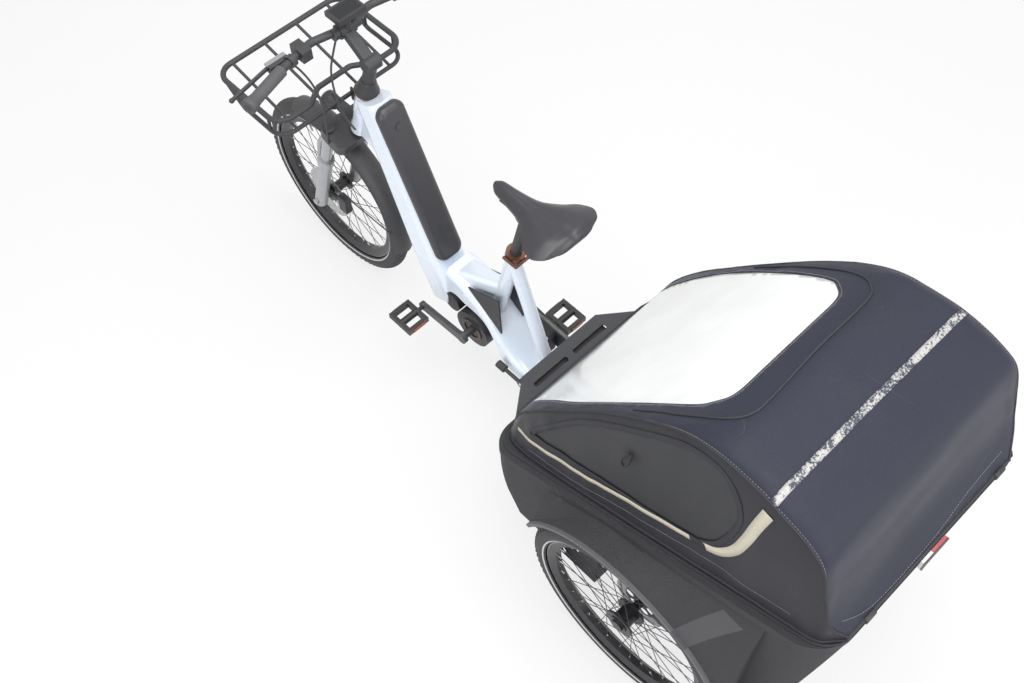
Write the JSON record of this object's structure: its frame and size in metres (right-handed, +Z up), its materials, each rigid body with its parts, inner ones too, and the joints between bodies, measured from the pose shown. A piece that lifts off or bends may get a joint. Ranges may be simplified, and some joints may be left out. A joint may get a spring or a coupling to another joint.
{
  "type": "cargo tricycle",
  "caption": "Leaning cargo tricycle: suspended front wheel, battery frame with pedal drive, front carrier and a rear cabin with canopy over driven wheels.",
  "frame": {"origin": "on the ground below the middle of the whole length and width", "axes": "+X forward, towards the steered wheel; +Y to the rider's left; +Z up"},
  "size_m": [2.3794, 0.862, 1.242],
  "materials": {
    "tyre_rubber": "treaded",
    "rim_black": "satin",
    "spoke_steel": "dark",
    "hub_alloy": "machined",
    "frame_paint": "satin",
    "fork_grey": "satin",
    "black_metal": "satin",
    "black_plastic": "grained",
    "grip_rubber": "ribbed",
    "battery_shell": "satin",
    "saddle_cover": "satin",
    "steel": "ground",
    "copper_anodised": "anodised",
    "tub_foam": "grained",
    "canopy_cloth": "coated",
    "mesh_cloth": "mesh",
    "cushion_cloth": "woven",
    "clear_film": "milky",
    "lamp_red": "clear"
  },
  "bodies": {
    "cargo_body": {"chassis_spine": "black_metal", "axle_frame": "black_metal", "floor_frame": "black_metal", "bearings": "steel", "rear_calipers": "black_metal", "cargo_tub": "tub_foam", "wheel_arches": "tub_foam", "bench_cushions": "cushion_cloth", "step_plate": "black_metal", "canopy": "canopy_cloth", "side_windows": "mesh_cloth", "canopy_hoops": "black_metal", "tail_lamp": "lamp_red"},
    "windscreen_flap": {"windscreen": "clear_film"},
    "rear_left_wheel": {"rear_left_tyre": "tyre_rubber", "rear_left_rim": "rim_black", "rear_left_spokes": "spoke_steel", "rear_left_hub": "hub_alloy"},
    "rear_right_wheel": {"rear_right_tyre": "tyre_rubber", "rear_right_rim": "rim_black", "rear_right_spokes": "spoke_steel", "rear_right_hub": "hub_alloy"},
    "final_drive": {"differential": "hub_alloy"},
    "front_frame": {"head_tube": "frame_paint", "down_tube": "frame_paint", "main_beam": "frame_paint", "seat_tube": "frame_paint", "seat_brace": "frame_paint", "motor_unit": "black_plastic", "motor_covers": "black_plastic", "tilt_shaft": "steel", "seat_collar": "copper_anodised", "chain_guard": "black_plastic", "drive_chain": "steel", "front_carrier": "black_metal"},
    "steering": {"fork_crown": "fork_grey", "stem": "black_metal", "display": "black_plastic", "handlebar": "black_metal", "grips": "grip_rubber", "bar_controls": "black_plastic", "control_cables": "grip_rubber", "head_lamp": "black_plastic"},
    "fork_lowers": {"fork_legs": "fork_grey", "front_mudguard": "black_plastic", "front_caliper": "black_metal"},
    "front_wheel": {"front_tyre": "tyre_rubber", "front_rim": "rim_black", "front_spokes": "spoke_steel", "front_hub": "hub_alloy"},
    "crankset": {"cranks": "black_metal", "chainring": "black_metal"},
    "left_pedal": {"pedal_left": "black_plastic"},
    "right_pedal": {"pedal_right": "black_plastic"},
    "seat": {"seat_post": "steel", "saddle": "saddle_cover"},
    "left_brake_lever": {"brake_lever_left": "black_plastic"},
    "right_brake_lever": {"brake_lever_right": "black_plastic"},
    "tilt_lock": {"tilt_lock_lever": "black_metal"},
    "battery_pack": {"battery": "battery_shell"}
  },
  "joints": [
    {"name": "lean", "type": "hinge", "parent": "cargo_body", "child": "front_frame", "pos_m": [-0.13975, 0, 0.25], "axis": [1, 0, 0], "range_deg": [-20, 20], "deforming": ["drive_chain"]},
    {"name": "steer", "type": "hinge", "parent": "front_frame", "child": "steering", "pos_m": [0.63725, 0, 0.916], "axis": [-0.2924, 0, 0.9563], "range_deg": [-45, 45], "deforming": ["control_cables"]},
    {"name": "fork_travel", "type": "slide", "parent": "steering", "child": "fork_lowers", "axis": [-0.2924, 0, 0.9563], "range_m": [0, 0.06], "stiffness_N_per_m": 9000, "springref_m": -0.03},
    {"name": "front_wheel_spin", "type": "hinge", "parent": "fork_lowers", "child": "front_wheel", "pos_m": [0.87625, 0, 0.3135], "axis": [0, 1, 0], "continuous": true},
    {"name": "rear_left_wheel_spin", "type": "hinge", "parent": "cargo_body", "child": "rear_left_wheel", "pos_m": [-0.71975, 0.386, 0.3135], "axis": [0, 1, 0], "continuous": true},
    {"name": "rear_right_wheel_spin", "type": "hinge", "parent": "cargo_body", "child": "rear_right_wheel", "pos_m": [-0.71975, -0.386, 0.3135], "axis": [0, 1, 0], "continuous": true},
    {"name": "crank_spin", "type": "hinge", "parent": "front_frame", "child": "crankset", "pos_m": [0.19725, 0, 0.29], "axis": [0, 1, 0], "continuous": true},
    {"name": "final_drive_spin", "type": "hinge", "parent": "cargo_body", "child": "final_drive", "pos_m": [-0.71975, 0, 0.3135], "axis": [0, 1, 0], "continuous": true},
    {"name": "left_pedal_spin", "type": "hinge", "parent": "crankset", "child": "left_pedal", "pos_m": [0.3666, 0.16, 0.27518], "axis": [0, 1, 0], "continuous": true},
    {"name": "right_pedal_spin", "type": "hinge", "parent": "crankset", "child": "right_pedal", "pos_m": [0.0279, -0.16, 0.30482], "axis": [0, 1, 0], "continuous": true},
    {"name": "seat_height", "type": "slide", "parent": "front_frame", "child": "seat", "axis": [-0.2147, 0, 0.9767], "range_m": [-0.1, 0.08]},
    {"name": "left_lever_pull", "type": "hinge", "parent": "steering", "child": "left_brake_lever", "pos_m": [0.72539, 0.198, 1.092], "axis": [0, 0, 1], "range_deg": [0, 8], "stiffness_Nm_per_rad": 1, "springref_deg": -20.05},
    {"name": "right_lever_pull", "type": "hinge", "parent": "steering", "child": "right_brake_lever", "pos_m": [0.72539, -0.198, 1.092], "axis": [0, 0, -1], "range_deg": [0, 8], "stiffness_Nm_per_rad": 1, "springref_deg": -20.05},
    {"name": "tilt_lock_swing", "type": "hinge", "parent": "front_frame", "child": "tilt_lock", "pos_m": [-0.02975, 0.078, 0.27], "axis": [0, -1, 0], "range_deg": [0, 60]},
    {"name": "battery_swing", "type": "hinge", "parent": "front_frame", "child": "battery_pack", "pos_m": [0.34497, 0, 0.45778], "axis": [0, -1, 0], "range_deg": [0, 25]},
    {"name": "windscreen_lift", "type": "hinge", "parent": "cargo_body", "child": "windscreen_flap", "pos_m": [-0.72375, 0, 1.1928], "axis": [0, -1, 0], "range_deg": [0, 20]}
  ],
  "couplings": [
    {"joint": "final_drive_spin", "follows": "crank_spin", "ratio": 2.2}
  ]
}
